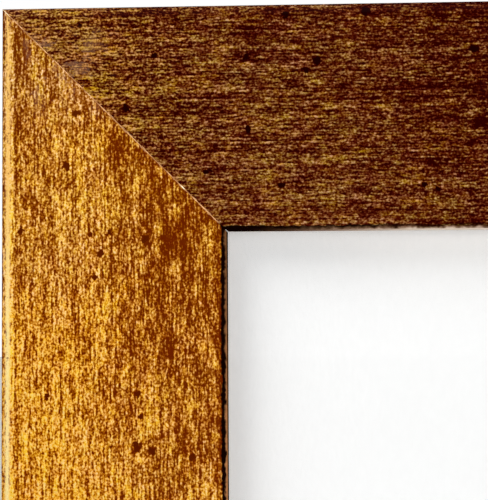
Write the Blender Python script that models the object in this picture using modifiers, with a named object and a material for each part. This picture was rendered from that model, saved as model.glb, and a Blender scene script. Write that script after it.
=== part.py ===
"""Poster frame: four mitred, rabbeted wood rails round a glazed, backed poster, with its hanging hardware.

Metres, +Z up. The front looks along -Y and the wall lies behind, at +Y. The origin is midway between
the two hanging rings, on the plane of the rails' back faces.
"""

import math

import bmesh
import bpy
from mathutils import Matrix, Vector

# Poster and the sheets in the rabbet, front to back
POSTER_WIDTH = 0.6096
POSTER_HEIGHT = 0.9144
GLAZING_THICKNESS = 0.0020
INSERT_THICKNESS = 0.0005
FOAM_THICKNESS = 0.0050
BACKING_THICKNESS = 0.0032
SHEET_PLAY = 0.0016

# Clearances
SEAT_GAP = 0.0003
MITRE_GAP = 0.00025
NAIL_GAP = 0.0002
WELD_DISTANCE = 0.000002

# Moulding
FACE_WIDTH = 0.0508
RABBET_WIDTH = 0.00635
LIP_THICKNESS = 0.0070
OUTER_RADIUS = 0.0020
SIGHT_BEVEL = 0.0009
BACK_CHAMFER = 0.0005
ARC_STEPS = 12

# Corner V-nails: places along the mitre, measured across the moulding
NAIL_PLACES = (0.0140, 0.0320)
NAIL_LEG = 0.0060
NAIL_HEIGHT = 0.0100
NAIL_THICKNESS = 0.0005
NAIL_DEPTH = 0.0003

# Pan-head wood screws
SCREW_LENGTH = 0.0127
SHANK_RADIUS = 0.0015
POINT_LENGTH = 0.0030
POINT_RADIUS = 0.0003
HEAD_RADIUS = 0.0034
HEAD_HEIGHT = 0.0021
HEAD_RIM = 0.0006
RECESS_LENGTH = 0.0036
RECESS_WIDTH = 0.0009
RECESS_DEPTH = 0.0011
DOME_STEPS = 4
TURN_STEPS = 12

# Turn buttons that hold the backing
SIDE_BUTTON_COUNT = 3
END_BUTTON_COUNT = 2
BUTTON_SPREAD_ON_SIDE = 0.690
BUTTON_SPREAD_ON_END = 0.340
BUTTON_INSET = 0.0100
BUTTON_REACH = 0.0210
BUTTON_PIVOT_RADIUS = 0.0055
BUTTON_TIP_RADIUS = 0.0040
BUTTON_THICKNESS = 0.0012
BUTTON_EDGE = 0.0002
HOLE_CLEARANCE = 0.0003
ROUND_STEPS = 12

# Ring hangers on the side rails, at a drop below the top of the sheets
HANGER_DROP = 0.2040
HANGER_ACROSS = 0.0220
STRAP_WIDTH = 0.0120
STRAP_LENGTH = 0.0330
STRAP_SHEET = 0.0008
STRAP_SCREW_START = 0.0180
STRAP_SCREW_PITCH = 0.0095
RING_WIRE_RADIUS = 0.0011
RING_HALF_WIDTH = 0.0083
RING_SIDE = 0.0030
RING_CORNER = 0.0018
RING_PLAY = 0.0003
CORNER_STEPS = 3
WIRE_RESOLUTION = 2

# Wall bumpers behind the bottom corners
BUMPER_RADIUS = 0.0050
BUMPER_HEIGHT = 0.0035
BUMPER_ROUND = 0.0012
BUMPER_STEPS = 4
BUMPER_ACROSS = 0.0120
BUMPER_FROM_END = 0.0300

# Shading: edges sharper than these angles in degrees stay sharp
SHARP_ANGLE = 40
SCREW_SHARP_ANGLE = 35
WIRE_SHARP_ANGLE = 60
BEVEL_FROM_ANGLE = 60

# Sizes that follow from those above
RABBET_DEPTH = (GLAZING_THICKNESS + INSERT_THICKNESS + FOAM_THICKNESS + BACKING_THICKNESS
                + 4 * SEAT_GAP)
RAIL_DEPTH = LIP_THICKNESS + RABBET_DEPTH
RABBET_WALL = FACE_WIDTH - RABBET_WIDTH
OUTER_WIDTH = POSTER_WIDTH + 2 * SHEET_PLAY + 2 * RABBET_WALL
OUTER_HEIGHT = POSTER_HEIGHT + 2 * SHEET_PLAY + 2 * RABBET_WALL
CENTRE_HEIGHT = HANGER_DROP - POSTER_HEIGHT / 2
EYE_BORE = RING_WIRE_RADIUS + RING_PLAY
EYE_RADIUS = EYE_BORE + STRAP_SHEET
STRAP_THICKNESS = 2 * STRAP_SHEET
RING_AXIS_Y = SEAT_GAP + EYE_RADIUS
SCREW_HOLE_RADIUS = SHANK_RADIUS + HOLE_CLEARANCE

# Finishes: base colour, roughness, metallic
FINISHES = {
    "gilt_mahogany": ((0.30, 0.12, 0.02), 0.42, 0.25),
    "acrylic": ((0.90, 0.93, 0.94), 0.05, 0.0),
    "white_card": ((0.92, 0.92, 0.91), 0.90, 0.0),
    "foam_board": ((0.86, 0.86, 0.84), 0.85, 0.0),
    "hardboard": ((0.20, 0.11, 0.055), 0.65, 0.0),
    "zinc_steel": ((0.60, 0.61, 0.62), 0.35, 1.0),
    "brassed_steel": ((0.62, 0.46, 0.20), 0.32, 1.0),
    "bright_steel": ((0.55, 0.56, 0.57), 0.40, 1.0),
    "black_rubber": ((0.03, 0.03, 0.03), 0.80, 0.0),
}

# Each rail's turn about Y in degrees: its own +X then points from the outer edge towards the poster
RAIL_TURNS = {"left_rail": 0, "top_rail": 90, "right_rail": 180, "bottom_rail": 270}
UPRIGHTS = ("left_rail", "right_rail")

# Takes a part drawn flat, thickness along its own Z, to lie flat on the back with +Z towards the wall
FACE_WALL = Matrix.Rotation(math.radians(-90), 4, "X")


def clear_scene():
    for thing in list(bpy.data.objects):
        bpy.data.objects.remove(thing, do_unlink=True)


def new_collection(name):
    collection = bpy.data.collections.new(name)
    bpy.context.scene.collection.children.link(collection)
    return collection


def new_finish(name):
    colour, roughness, metallic = FINISHES[name]
    finish = bpy.data.materials.new(name)
    finish.use_nodes = True
    shader = finish.node_tree.nodes["Principled BSDF"]
    shader.inputs["Base Color"].default_value = (*colour, 1.0)
    shader.inputs["Roughness"].default_value = roughness
    shader.inputs["Metallic"].default_value = metallic
    finish.diffuse_color = (*colour, 1.0)
    return finish


def place(name, mesh, finish, parent, transform):
    """Puts a part into the model under its parent empty."""
    part = bpy.data.objects.new(name, mesh)
    PARTS.objects.link(part)
    part.parent = parent
    part.matrix_local = transform
    part.data.materials.clear()
    part.data.materials.append(finish)
    return part


def place_cutter(name, mesh, collection, parent, transform):
    cutter = bpy.data.objects.new(name, mesh)
    collection.objects.link(cutter)
    cutter.parent = parent
    cutter.matrix_local = transform
    cutter.hide_render = True
    cutter.display_type = "WIRE"
    return cutter


def cut(part, collection):
    """Takes every cutter of a collection out of a part."""
    boolean = part.modifiers.new("cut", "BOOLEAN")
    boolean.operand_type = "COLLECTION"
    boolean.collection = collection
    boolean.operation = "DIFFERENCE"
    boolean.solver = "EXACT"


def finished_mesh(thing):
    """The mesh of an object or curve with its modifiers applied and its loose caps welded."""
    bpy.context.view_layer.update()
    graph = bpy.context.evaluated_depsgraph_get()
    mesh = bpy.data.meshes.new_from_object(thing.evaluated_get(graph))
    work = bmesh.new()
    work.from_mesh(mesh)
    bmesh.ops.remove_doubles(work, verts=work.verts, dist=WELD_DISTANCE)
    work.to_mesh(mesh)
    work.free()
    bpy.data.objects.remove(thing, do_unlink=True)
    return mesh


def smooth(mesh, angle=SHARP_ANGLE):
    mesh.shade_smooth()
    mesh.set_sharp_from_angle(angle=math.radians(angle))
    return mesh


def arc(centre, radius, start, end, steps):
    """Points of an arc, in order, with angles in degrees."""
    x, y = centre
    angles = [math.radians(start + (end - start) * i / steps) for i in range(steps + 1)]
    return [(x + radius * math.cos(a), y + radius * math.sin(a)) for a in angles]


def circle(centre, radius, steps):
    return arc(centre, radius, 0, 360, steps)[:-1]


def plate(name, outlines, thickness):
    """A flat plate centred on its own XY plane: the first outline is its edge, the others are holes."""
    curve = bpy.data.curves.new(name, "CURVE")
    curve.dimensions = "2D"
    curve.fill_mode = "BOTH"
    curve.extrude = thickness / 2
    for outline in outlines:
        spline = curve.splines.new("POLY")
        spline.points.add(len(outline) - 1)
        for point, (x, y) in zip(spline.points, outline):
            point.co = (x, y, 0, 1)
        spline.use_cyclic_u = True
    guide = bpy.data.objects.new(name, curve)
    CUTTERS.objects.link(guide)
    return finished_mesh(guide)


def turned(name, profile, steps):
    """A solid of revolution about Z from a profile of (radius, height) read from top to bottom."""
    mesh = bpy.data.meshes.new(name)
    points = [(radius, 0, height) for radius, height in profile]
    mesh.from_pydata(points, [(i, i + 1) for i in range(len(points) - 1)], [])
    guide = bpy.data.objects.new(name, mesh)
    CUTTERS.objects.link(guide)
    screw = guide.modifiers.new("turn", "SCREW")
    screw.axis = "Z"
    screw.steps = steps
    screw.render_steps = steps
    screw.use_merge_vertices = True
    screw.merge_threshold = WELD_DISTANCE
    return finished_mesh(guide)


def box(name, size):
    mesh = bpy.data.meshes.new(name)
    work = bmesh.new()
    bmesh.ops.create_cube(work, size=1.0, matrix=Matrix.Diagonal((*size, 1.0)))
    work.to_mesh(mesh)
    work.free()
    return mesh


def peg(name, radius, length):
    """A cylinder along Z whose outer end is at its origin and which reaches down."""
    mesh = bpy.data.meshes.new(name)
    work = bmesh.new()
    bmesh.ops.create_cone(work, cap_ends=True, segments=ROUND_STEPS, radius1=radius, radius2=radius,
                          depth=length, matrix=Matrix.Translation((0, 0, -length / 2)))
    work.to_mesh(mesh)
    work.free()
    return mesh


def bevelled(mesh, width):
    guide = bpy.data.objects.new(mesh.name, mesh)
    CUTTERS.objects.link(guide)
    bevel = guide.modifiers.new("edge", "BEVEL")
    bevel.width = width
    bevel.segments = 1
    bevel.limit_method = "ANGLE"
    bevel.angle_limit = math.radians(BEVEL_FROM_ANGLE)
    return finished_mesh(guide)


# Rails


def rail_profile():
    """Cross-section: X from the outer edge to the sight edge, Y from the back (0) to the front (minus)."""
    front = -RAIL_DEPTH
    lip_back = front + LIP_THICKNESS
    points = [(BACK_CHAMFER, 0), (0, -BACK_CHAMFER)]
    points += arc((OUTER_RADIUS, front + OUTER_RADIUS), OUTER_RADIUS, 180, 270, ARC_STEPS)
    points += [(FACE_WIDTH - SIGHT_BEVEL, front), (FACE_WIDTH, front + SIGHT_BEVEL)]
    points += [(FACE_WIDTH, lip_back), (RABBET_WALL, lip_back), (RABBET_WALL, 0)]
    return points


def rail_length(name):
    return OUTER_HEIGHT if name in UPRIGHTS else OUTER_WIDTH


def rail_seats(frame):
    """An empty for each rail at the middle of its outer back edge, turned so that +X points inwards."""
    half_width, half_height = OUTER_WIDTH / 2, OUTER_HEIGHT / 2
    spots = {"left_rail": (-half_width, 0), "top_rail": (0, half_height),
             "right_rail": (half_width, 0), "bottom_rail": (0, -half_height)}
    seats = {}
    for name, (x, rise) in spots.items():
        seat = bpy.data.objects.new(f"{name}_seat", None)
        PARTS.objects.link(seat)
        seat.parent = frame
        seat.location = (x, 0, CENTRE_HEIGHT + rise)
        seat.rotation_euler = (0, math.radians(RAIL_TURNS[name]), 0)
        seats[name] = seat
    return seats


def add_mitre_cutters(name, seat, cutters):
    """A block over each end of a rail, with one face on the 45 degree joint."""
    size = 4 * FACE_WIDTH
    mesh = box(f"{name}_mitre_block", (size, size, size))
    reach = rail_length(name) / 2 - FACE_WIDTH / 2 - MITRE_GAP / math.sqrt(2)
    for end in (-1, 1):
        normal = Vector((1, 0, end)).normalized()
        centre = Vector((FACE_WIDTH / 2, -RAIL_DEPTH / 2, end * reach)) + normal * size / 2
        turn = Matrix.Rotation(math.radians(45), 4, "Y")
        place_cutter(f"{name}_mitre_{end}", mesh, cutters, seat, Matrix.Translation(centre) @ turn)


def make_rail(name, seat, cutters, finish):
    add_mitre_cutters(name, seat, cutters)
    mesh = smooth(plate(name, [rail_profile()], rail_length(name)))
    rail = place(name, mesh, finish, seat, Matrix.Identity(4))
    cut(rail, cutters)


# Corner V-nails


def nail_outline(spread):
    """A right-angled V with its point at the origin and its legs along -X and +Y, widened by spread."""
    half = NAIL_THICKNESS / 2 + spread
    leg = NAIL_LEG + spread
    return [(half, -half), (half, leg), (-half, leg), (-half, half), (-leg, half), (-leg, -half)]


def make_nails(frame, rail_cutters, finish):
    """Two V-nails across each mitre. Their legs run out along the two rails, towards the outer corner."""
    nail = plate("v_nail", [nail_outline(0)], NAIL_HEIGHT)
    slot_depth = NAIL_HEIGHT + NAIL_DEPTH + SEAT_GAP
    slot = plate("v_nail_slot", [nail_outline(NAIL_GAP)], 2 * slot_depth)
    corners = (("top_left", -1, 1), ("top_right", 1, 1), ("bottom_right", 1, -1), ("bottom_left", -1, -1))
    for quarter, (corner, side, level) in enumerate(corners):
        turn = Matrix.Rotation(math.radians(90 * quarter), 4, "Y")
        for number, across in enumerate(NAIL_PLACES, 1):
            x = side * (OUTER_WIDTH / 2 - across)
            z = CENTRE_HEIGHT + level * (OUTER_HEIGHT / 2 - across)
            lay = turn @ Matrix.Rotation(math.radians(90), 4, "X")
            depth = -NAIL_DEPTH - NAIL_HEIGHT / 2
            place(f"v_nail_{corner}_{number}", nail, finish, frame, Matrix.Translation((x, depth, z)) @ lay)
            for rail in (f"{corner.split('_')[0]}_rail", f"{corner.split('_')[1]}_rail"):
                place_cutter(f"{rail}_slot_{corner}_{number}", slot, rail_cutters[rail], frame,
                             Matrix.Translation((x, 0, z)) @ lay)


# Sheets in the rabbet


def make_sheets(frame, finishes):
    sheets = (("glazing", GLAZING_THICKNESS, "acrylic"), ("poster_insert", INSERT_THICKNESS, "white_card"),
              ("foam_board", FOAM_THICKNESS, "foam_board"), ("backing_board", BACKING_THICKNESS, "hardboard"))
    front = -RABBET_DEPTH
    for name, thickness, finish in sheets:
        front += SEAT_GAP
        mesh = box(name, (POSTER_WIDTH, thickness, POSTER_HEIGHT))
        centre = (0, front + thickness / 2, CENTRE_HEIGHT)
        place(name, mesh, finishes[finish], frame, Matrix.Translation(centre))
        front += thickness


# Screws


def screw_mesh():
    """A pan-head screw standing on its point along Z, with the underside of its head at the origin."""
    dome = [(HEAD_RADIUS * math.sin(a), HEAD_RIM + (HEAD_HEIGHT - HEAD_RIM) * math.cos(a))
            for a in (math.radians(90 * i / DOME_STEPS) for i in range(DOME_STEPS + 1))]
    shank = [(HEAD_RADIUS, 0), (SHANK_RADIUS, 0), (SHANK_RADIUS, POINT_LENGTH - SCREW_LENGTH),
             (POINT_RADIUS, -SCREW_LENGTH), (0, -SCREW_LENGTH)]
    body = bpy.data.objects.new("screw_blank", turned("screw", dome + shank, TURN_STEPS))
    CUTTERS.objects.link(body)
    arm, half = RECESS_LENGTH / 2, RECESS_WIDTH / 2
    cross = []
    for quarter in range(4):
        turn = Matrix.Rotation(math.radians(90 * quarter), 2)
        cross += [tuple(turn @ Vector(corner)) for corner in ((arm, -half), (arm, half), (half, half))]
    recess = new_collection("screw_recess")
    tool = plate("recess", [cross], 2 * RECESS_DEPTH)
    place_cutter("recess_tool", tool, recess, None, Matrix.Translation((0, 0, HEAD_HEIGHT)))
    cut(body, recess)
    return smooth(finished_mesh(body), SCREW_SHARP_ANGLE)


def fasten(name, screw, finish, seat, spot, grip, cutters):
    """A screw through a plate of the thickness grip, flat on the back at spot, and its hole in the rail."""
    stand = SEAT_GAP + grip + SEAT_GAP
    place(name, screw, finish, seat, spot @ Matrix.Translation((0, 0, stand)))
    depth = SCREW_LENGTH - stand + SEAT_GAP
    hole = peg(f"{name}_hole", SCREW_HOLE_RADIUS, 2 * depth)
    place_cutter(f"{name}_hole", hole, cutters, seat, spot @ Matrix.Translation((0, 0, depth)))


# Turn buttons


def button_mesh():
    """A tapered steel tab: a wide round end about its screw hole, and a narrow round tip."""
    taper = math.degrees(math.asin((BUTTON_PIVOT_RADIUS - BUTTON_TIP_RADIUS) / BUTTON_REACH))
    tip = arc((BUTTON_REACH, 0), BUTTON_TIP_RADIUS, taper - 90, 90 - taper, ROUND_STEPS)
    heel = arc((0, 0), BUTTON_PIVOT_RADIUS, 90 - taper, 270 + taper, ROUND_STEPS)
    hole = circle((0, 0), SCREW_HOLE_RADIUS, ROUND_STEPS)
    return smooth(bevelled(plate("turn_button", [tip + heel, hole], BUTTON_THICKNESS), BUTTON_EDGE))


def button_places():
    """(rail, distance along it from its middle) of each turn button, in the rail's own direction."""
    places = []
    for rail in RAIL_TURNS:
        upright = rail in UPRIGHTS
        count = SIDE_BUTTON_COUNT if upright else END_BUTTON_COUNT
        spread = BUTTON_SPREAD_ON_SIDE if upright else BUTTON_SPREAD_ON_END
        places += [(rail, spread * (i / (count - 1) - 0.5)) for i in range(count)]
    return places


def make_buttons(seats, rail_cutters, screw, finishes):
    mesh = button_mesh()
    lift = Matrix.Translation((0, 0, SEAT_GAP + BUTTON_THICKNESS / 2))
    for number, (rail, along) in enumerate(button_places(), 1):
        pivot = Matrix.Translation((RABBET_WALL - BUTTON_INSET, 0, along)) @ FACE_WALL
        place(f"turn_button_{number}", mesh, finishes["zinc_steel"], seats[rail], pivot @ lift)
        fasten(f"button_screw_{number}", screw, finishes["bright_steel"], seats[rail], pivot,
               BUTTON_THICKNESS, rail_cutters[rail])


# Ring hangers


def strap_mesh():
    """A folded steel strap about the ring's bar, whose middle is the origin. It hangs down along -Z."""
    closing = 180 + math.degrees(math.asin((EYE_RADIUS - STRAP_THICKNESS) / EYE_RADIUS))
    eye = arc((0, 0), EYE_RADIUS, -90, closing, 2 * ROUND_STEPS)
    side = eye + [(-STRAP_LENGTH, STRAP_THICKNESS - EYE_RADIUS), (-STRAP_LENGTH, -EYE_RADIUS)]
    bore = circle((0, 0), EYE_BORE, ROUND_STEPS)
    blank = plate("strap", [side, bore], 2 * STRAP_WIDTH)
    blank.transform(Matrix.Rotation(math.radians(-90), 4, "Y"))
    body = bpy.data.objects.new("strap_blank", blank)
    CUTTERS.objects.link(body)
    half = STRAP_WIDTH / 2
    through = 4 * EYE_RADIUS
    foot = arc((0, half - STRAP_LENGTH), half, 180, 360, ROUND_STEPS)
    plan = plate("strap_plan", [foot + [(half, STRAP_WIDTH), (-half, STRAP_WIDTH)]], through)
    flat = Matrix.Rotation(math.radians(90), 4, "X")
    outline = place_cutter("strap_outline", plan, CUTTERS, None, flat)
    trim = body.modifiers.new("plan", "BOOLEAN")
    trim.operation = "INTERSECT"
    trim.solver = "EXACT"
    trim.object = outline
    holes = new_collection("strap_holes")
    for number, drop in enumerate(strap_screw_drops(), 1):
        drill = peg("strap_drill", SCREW_HOLE_RADIUS, through)
        place_cutter(f"strap_drill_{number}", drill, holes, None,
                     Matrix.Translation((0, through / 2, -drop)) @ FACE_WALL)
    cut(body, holes)
    return smooth(finished_mesh(body))


def strap_screw_drops():
    return STRAP_SCREW_START, STRAP_SCREW_START + STRAP_SCREW_PITCH


def ring_mesh():
    """A D-shaped steel ring round its own straight bar, which lies on X at the origin. It stands up along Z."""
    inner = RING_HALF_WIDTH - RING_CORNER
    route = arc((inner, RING_CORNER), RING_CORNER, -90, 0, CORNER_STEPS)
    route += arc((0, RING_SIDE), RING_HALF_WIDTH, 0, 180, ROUND_STEPS)
    route += arc((-inner, RING_CORNER), RING_CORNER, 180, 270, CORNER_STEPS)
    curve = bpy.data.curves.new("ring", "CURVE")
    curve.dimensions = "3D"
    curve.bevel_depth = RING_WIRE_RADIUS
    curve.bevel_resolution = WIRE_RESOLUTION
    spline = curve.splines.new("POLY")
    spline.points.add(len(route) - 1)
    for point, (x, z) in zip(spline.points, route):
        point.co = (x, 0, z, 1)
    spline.use_cyclic_u = True
    guide = bpy.data.objects.new("ring", curve)
    CUTTERS.objects.link(guide)
    return smooth(finished_mesh(guide), WIRE_SHARP_ANGLE)


def make_hangers(frame, rail_cutters, screw, finishes):
    """A hanger on each side rail, at the height of the origin."""
    strap, ring = strap_mesh(), ring_mesh()
    for side, sign in (("left", -1), ("right", 1)):
        seat = bpy.data.objects.new(f"{side}_hanger_seat", None)
        PARTS.objects.link(seat)
        seat.parent = frame
        seat.location = (sign * (OUTER_WIDTH / 2 - HANGER_ACROSS), RING_AXIS_Y, 0)
        still = Matrix.Identity(4)
        place(f"{side}_hanger_strap", strap, finishes["brassed_steel"], seat, still)
        place(f"{side}_hanger_ring", ring, finishes["brassed_steel"], seat, still)
        for number, drop in enumerate(strap_screw_drops(), 1):
            spot = Matrix.Translation((0, -RING_AXIS_Y, -drop)) @ FACE_WALL
            fasten(f"{side}_hanger_screw_{number}", screw, finishes["brassed_steel"], seat, spot,
                   STRAP_THICKNESS, rail_cutters[f"{side}_rail"])


# Wall bumpers


def make_bumpers(seat, finish):
    """Two domed rubber pads on the back of the bottom rail, one near each end."""
    shoulder = (BUMPER_RADIUS - BUMPER_ROUND, BUMPER_HEIGHT - BUMPER_ROUND)
    crown = arc(shoulder, BUMPER_ROUND, 90, 0, BUMPER_STEPS)
    profile = [(0, BUMPER_HEIGHT)] + crown + [(BUMPER_RADIUS, 0), (0, 0)]
    mesh = smooth(turned("bumper", profile, 2 * TURN_STEPS))
    along = rail_length("bottom_rail") / 2 - BUMPER_FROM_END
    for side, sign in (("left", 1), ("right", -1)):
        spot = Matrix.Translation((BUMPER_ACROSS, SEAT_GAP, sign * along)) @ FACE_WALL
        place(f"{side}_bumper", mesh, finish, seat, spot)


def build():
    finishes = {name: new_finish(name) for name in FINISHES}
    frame = bpy.data.objects.new("frame_origin", None)
    PARTS.objects.link(frame)
    seats = rail_seats(frame)
    rail_cutters = {name: new_collection(f"{name}_cutters") for name in RAIL_TURNS}
    make_nails(frame, rail_cutters, finishes["bright_steel"])
    make_sheets(frame, finishes)
    screw = screw_mesh()
    make_buttons(seats, rail_cutters, screw, finishes)
    make_hangers(frame, rail_cutters, screw, finishes)
    make_bumpers(seats["bottom_rail"], finishes["black_rubber"])
    for name, seat in seats.items():
        make_rail(name, seat, rail_cutters[name], finishes["gilt_mahogany"])


clear_scene()
PARTS = new_collection("poster_frame")
CUTTERS = new_collection("cutters")
build()
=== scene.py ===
"""Poster frame: the gilt finish, mitre seams, fine hardware and stage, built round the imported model.

Metres, +Z up. The front looks along -Y, and the origin is midway between the two hanging rings.
"""

import math

import bpy
import numpy as np
from mathutils import Matrix, Vector


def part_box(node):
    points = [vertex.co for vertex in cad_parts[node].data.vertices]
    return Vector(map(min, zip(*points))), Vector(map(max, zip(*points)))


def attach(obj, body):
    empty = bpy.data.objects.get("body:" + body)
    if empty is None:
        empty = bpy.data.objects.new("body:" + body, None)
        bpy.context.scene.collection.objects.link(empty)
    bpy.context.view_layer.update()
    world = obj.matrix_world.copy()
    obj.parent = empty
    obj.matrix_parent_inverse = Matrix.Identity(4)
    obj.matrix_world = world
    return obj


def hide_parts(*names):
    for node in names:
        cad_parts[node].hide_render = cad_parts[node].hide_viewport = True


bl_info = {
    "name": "Poster Frame Finish",
    "version": (1, 0, 0),
    "blender": (4, 5, 0),
    "location": "View3D > Sidebar > Poster Frame",
    "description": "Builds the gilt finish, mitre seams, hardware and stage of a poster frame",
    "category": "Object",
}

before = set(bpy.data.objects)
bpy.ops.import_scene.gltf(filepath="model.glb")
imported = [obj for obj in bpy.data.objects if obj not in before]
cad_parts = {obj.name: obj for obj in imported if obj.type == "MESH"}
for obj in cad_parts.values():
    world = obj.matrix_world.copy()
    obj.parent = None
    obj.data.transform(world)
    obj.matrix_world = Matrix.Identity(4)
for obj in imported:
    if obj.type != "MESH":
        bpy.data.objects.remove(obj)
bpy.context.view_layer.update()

# Each rail: the axis it runs along, the axis across it, and the way from its outer edge to the sight edge
RAILS = {"left_rail": ("Z", "X", 1), "right_rail": ("Z", "X", -1),
         "top_rail": ("X", "Z", -1), "bottom_rail": ("X", "Z", 1)}
AXES = {"X": 0, "Y": 1, "Z": 2}

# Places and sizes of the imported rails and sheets
LEFT_LOW, LEFT_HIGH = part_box("left_rail")
OUTER_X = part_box("right_rail")[1].x
BOTTOM_Z, TOP_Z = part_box("bottom_rail")[0].z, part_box("top_rail")[1].z
CENTRE_Z = (BOTTOM_Z + TOP_Z) / 2
FRONT_Y, BACK_Y = LEFT_LOW.y, LEFT_HIGH.y
FACE_WIDTH = LEFT_HIGH.x - LEFT_LOW.x
SEAT_GAP = 0.0003
LEDGE_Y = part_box("glazing")[0].y - SEAT_GAP
OUTER_ROUND = 0.0020
SIGHT_BEVEL = 0.0009
SLANT = 1 / math.sqrt(2)

# Largest dark specks, in millimetres: distance from the top left corner along the rail, across it, and radius
SPECKS = {
    "left_rail": ((24.1, 17.3, 0.7), (36.1, 15, 0.7), (51.3, 24.6, 0.5), (52.9, 32.8, 0.8),
                  (55.8, 22.6, 0.6), (61.1, 21.2, 0.5), (87, 31.1, 0.6), (92.3, 31.5, 0.5), (99, 30.8, 0.9),
                  (99.9, 34.2, 0.7), (101.2, 43.1, 0.6), (87.9, 10.8, 0.5), (50.7, 4.5, 0.6)),
    "top_rail": ((71.5, 13, 0.9), (68.9, 15.3, 0.6), (106.2, 10.9, 0.8), (34.8, 11.5, 0.6),
                 (28.5, 23.2, 0.7), (98, 42.1, 0.5), (63.2, 40.9, 0.6), (46.7, 37.8, 0.6),
                 (55.7, 28.3, 0.6), (64.5, 2.7, 0.6), (82.2, 2.1, 0.8), (55.5, 12.1, 0.6),
                 (95.1, 41.2, 0.6)),
}

# Darker stains, larger and softer than the specks: the same three distances
STAINS = {
    "left_rail": ((53, 39, 2.5), (32, 26.4, 2.5), (76.8, 37.6, 1.4), (39.3, 14.9, 1.4)),
    "top_rail": ((66.2, 17.2, 1.8), (55.3, 11.4, 1.4), (97.4, 36.6, 1.6), (67.9, 40.9, 1.1),
                 (106.8, 19.5, 1.4), (107.8, 26.9, 1.4), (98.8, 2.4, 1.1), (104.4, 2.7, 1.1),
                 (56.4, 6, 1.6)),
}

# The film's colours from bare ground to thick gilt: where they lie, and the tone and colour of each step. The
# sets for the side rails are lighter and the set for the top and bottom rails darker, though all four rails
# are one moulding: painted light and painted shade, for how the grain along each rail catches the light.
FILM_STEPS = ("Bare ground", "Thin gilt", "Worn gilt", "Even gilt", "Full gilt", "Thick gilt")
FILM = {
    "upright": ("on the side rails", (-3.2, -1.87, -0.93, 0.0, 0.93, 2.4),
                ((90, 22, 0), (130, 60, 1), (167, 97, 7), (212, 143, 34), (252, 188, 70), (255, 211, 104))),
    "pale": ("near the corners of the side rails", (-2.9, -1.75, -0.93, 0.0, 0.93, 2.4),
             ((98, 36, 0), (136, 74, 8), (168, 109, 40), (207, 149, 74), (243, 187, 110), (255, 212, 146))),
    "level": ("on the top and bottom rails", (-2.3, -0.93, 0.0, 0.93, 2.2, 3.6),
              ((38, 1, 0), (65, 12, 2), (91, 39, 10), (124, 74, 27), (163, 116, 52), (204, 155, 86))),
}

# Spreads of tone from one end of a set of colours to the other
TONE_RANGE = 8.0

# Noise on the rails: length and width of its marks, an offset of its own, and its detail where that isn't 1
MARKS = {
    "cloud": (0.011, 0.008, 23.0), "patch": (0.0036, 0.0020, 25.0), "drift": (0.16, 0.09, 29.0),
    "ragged": (0.0009, 0.0009, 31.0), "thinning": (0.0012, 0.0012, 37.0), "rub": (0.006, 0.0035, 41.0, 2),
    "fine rub": (0.0008, 0.0006, 43.0), "crumb": (0.0014, 0.0014, 53.0), "wander": (0.004, 0.004, 61.0),
    "fray": (0.0030, 0.0030, 67.0), "warmth": (0.0013, 0.0010, 71.0), "olive": (0.0024, 0.0018, 77.0),
    "wide olive": (0.0070, 0.0045, 79.0, 2),
}

# Widths of the flecks, streaks and long brush marks, whose lengths are settings
FLECK_WIDE, STREAK_WIDE, DRAG_WIDE = 0.00050, 0.00052, 0.00058

# Turn buttons that hold the backing in
BUTTON_COUNT = 10

# Lamps: the direction of each from the frame, and its width in degrees
LAMPS = {"key": ((-0.88, -1.0, 1.28), 40), "fill": ((0.64, -1.0, -0.20), 40),
         "rear_left": ((-0.7, 1.0, 0.7), 50), "rear_right": ((0.8, 1.0, 0.3), 60)}

# The camera's place from the top left corner of the face, and its tilt, pan and roll in degrees
CAMERA_OFFSET = (0.07407, -0.33933, -0.07101)
CAMERA_TURNS = (2.643, 3.241, -0.282)

# Spread of a noise texture's value about a half, for each detail setting that is used
NOISE_SPREAD = {1: 0.093, 2: 0.082, 3: 0.071}


def srgb(red, green, blue):
    """A colour written in steps of 0 to 255, as the linear values that shaders use."""
    values = []
    for step in (red, green, blue):
        share = step / 255
        values.append(share / 12.92 if share <= 0.04045 else ((share + 0.055) / 1.055) ** 2.4)
    return tuple(values)


# Settings


def length(name, description, default):
    return bpy.props.FloatProperty(name=name, description=description, default=default, min=0.0,
                                   unit="LENGTH", precision=5)


def colour(name, description, default):
    return bpy.props.FloatVectorProperty(name=name, description=description, default=srgb(*default),
                                         subtype="COLOR", size=3, min=0.0, max=1.0)


def amount(name, description, default):
    return bpy.props.FloatProperty(name=name, description=description, default=default)


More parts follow.
